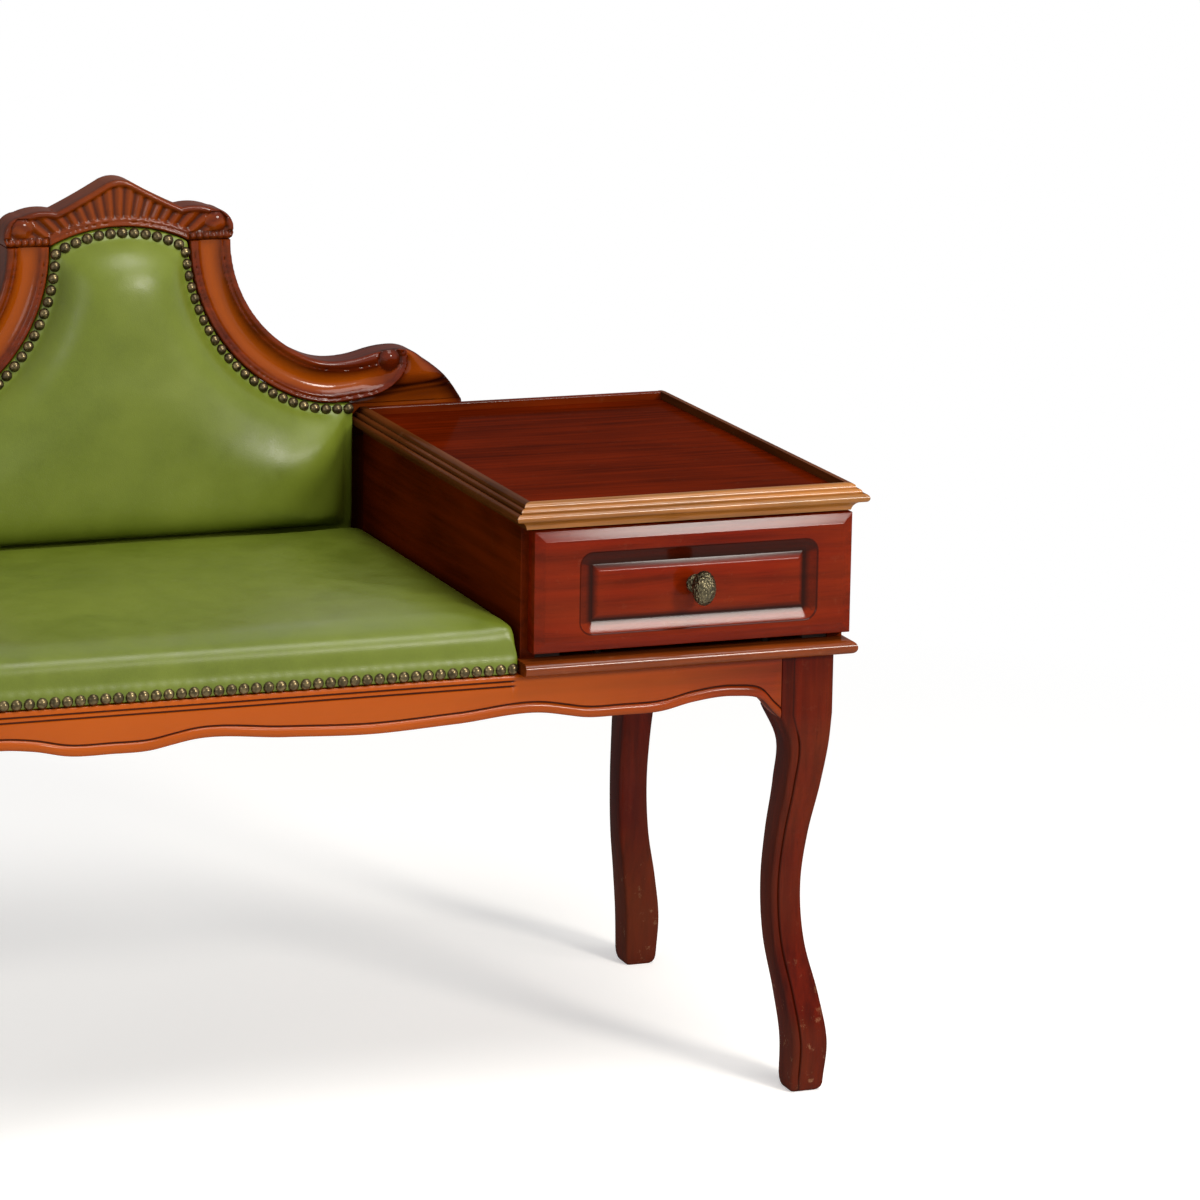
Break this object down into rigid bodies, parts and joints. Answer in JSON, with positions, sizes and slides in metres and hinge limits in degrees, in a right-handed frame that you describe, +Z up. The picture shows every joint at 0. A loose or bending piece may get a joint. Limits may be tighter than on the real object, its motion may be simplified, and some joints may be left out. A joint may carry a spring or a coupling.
{
  "type": "telephone bench",
  "caption": "Upholstered hall bench with a carved, swept back, cabriole legs and a raised side table that has a sliding drawer under its rimmed top.",
  "frame": {"origin": "on the floor, under the centre of the part's bounding box with the drawer closed", "axes": "+X runs along the bench from the seat towards the side table, -Y is the front, +Z is up"},
  "size_m": [0.9043, 0.5188, 0.8],
  "materials": {
    "mahogany": "polished red-brown mahogany, high gloss",
    "light_mahogany": "polished mahogany, worn to orange-brown",
    "secondary_wood": "plain planed softwood",
    "plywood": "plain plywood",
    "green_leather": "olive green, semi-gloss, fine grain",
    "padding": "upholstery padding",
    "black_cloth": "thin woven dust cloth",
    "antique_brass": "dark antique brass, worn bright on top",
    "steel": "plain steel fastener"
  },
  "bodies": {
    "root": {"leg_front_left": "mahogany", "leg_front_right": "mahogany", "leg_rear_left": "mahogany", "leg_rear_right": "mahogany", "front_rail": "light_mahogany", "rear_rail": "mahogany", "left_rail": "mahogany", "right_rail": "mahogany", "cross_rail": "secondary_wood", "corner_blocks": "secondary_wood", "block_screws": "steel", "seat_board": "plywood", "seat_foam": "padding", "seat_cover": "green_leather", "dust_cover": "black_cloth", "seat_nails": "antique_brass", "table_base": "mahogany", "table_screws": "steel", "table_side_left": "mahogany", "table_side_right": "mahogany", "table_back": "mahogany", "top_stretcher": "secondary_wood", "top_panel": "mahogany", "rim_front": "light_mahogany", "rim_left": "mahogany", "rim_right": "mahogany", "rim_rear": "mahogany", "drawer_runners": "secondary_wood", "drawer_kickers": "secondary_wood", "drawer_stops": "secondary_wood", "back_board": "plywood", "outer_back_panel": "mahogany", "back_foam": "padding", "back_cover": "green_leather", "back_nails": "antique_brass", "back_swoop_left": "mahogany", "back_swoop_right": "mahogany", "back_crest": "mahogany", "back_dowels": "secondary_wood", "back_post_left": "mahogany", "back_post_right": "secondary_wood", "back_bolts": "steel", "back_lower_rail": "secondary_wood"},
    "drawer": {"drawer_side_left": "secondary_wood", "drawer_side_right": "secondary_wood", "drawer_back": "secondary_wood", "drawer_bottom": "plywood", "drawer_front": "mahogany", "drawer_knob": "antique_brass", "knob_screw": "steel"}
  },
  "joints": [
    {"name": "drawer_slide", "type": "slide", "parent": "root", "child": "drawer", "axis": [0, -1, 0], "range_m": [0, 0.3]}
  ]
}
